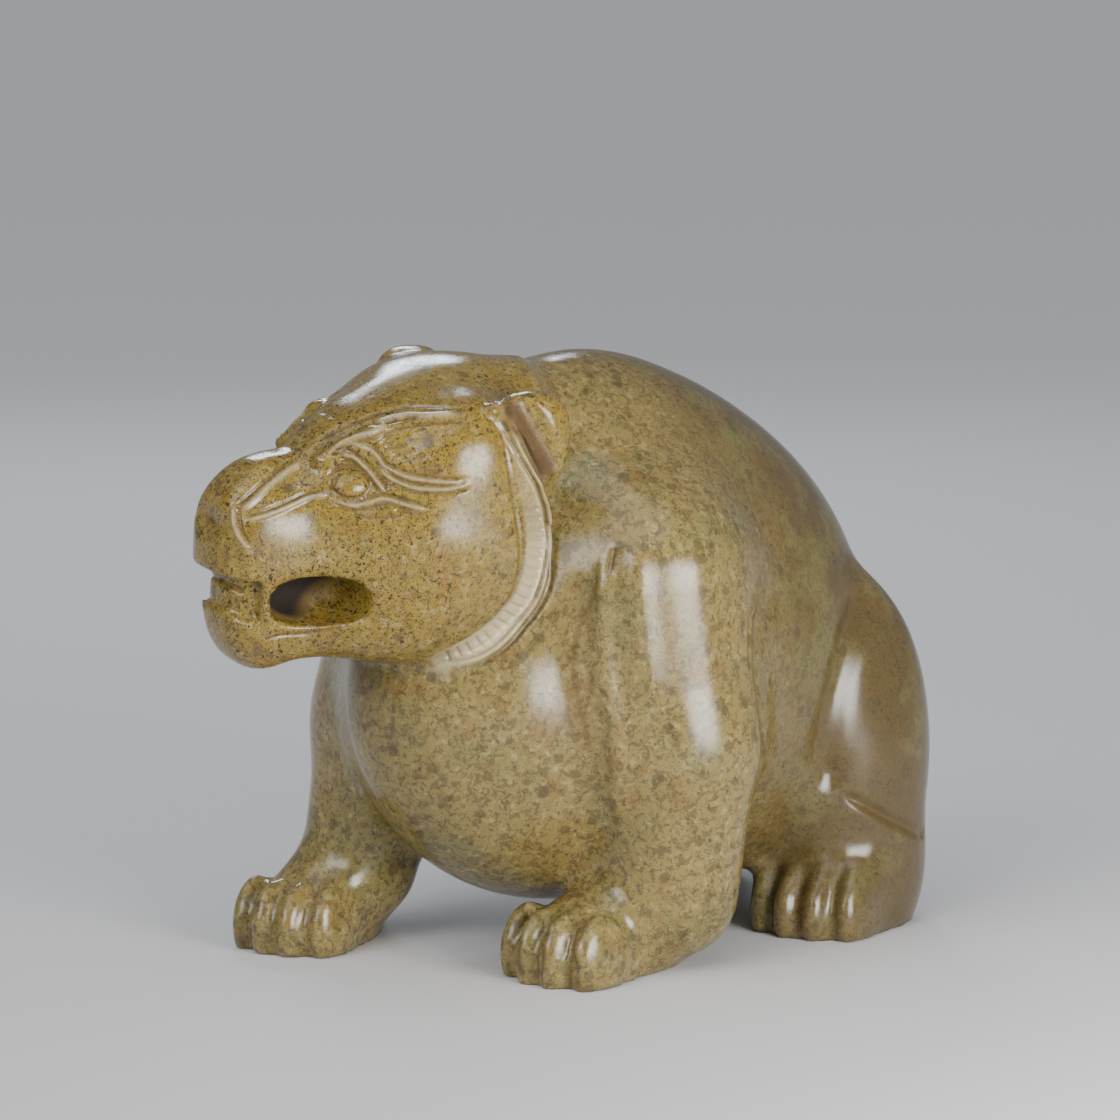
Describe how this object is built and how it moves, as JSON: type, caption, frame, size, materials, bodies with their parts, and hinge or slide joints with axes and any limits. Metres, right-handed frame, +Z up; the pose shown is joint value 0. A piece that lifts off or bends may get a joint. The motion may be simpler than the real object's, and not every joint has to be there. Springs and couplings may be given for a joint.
{
  "type": "jade bear carving",
  "caption": "Carved jade bear walking on four paws, head turned, mouth open, with a ruff behind the jaw and carved brows, ears and toes.",
  "frame": {"origin": "centre of the bounding box at the plane the four soles rest on", "axes": "+Z up, -Y towards the muzzle, +X to the bear's left side; the length of the body runs along Y"},
  "size_m": [0.052, 0.0872, 0.0663],
  "materials": {
    "jade": "polished"
  },
  "bodies": {
    "root": {"jade_bear": "jade"}
  },
  "joints": []
}
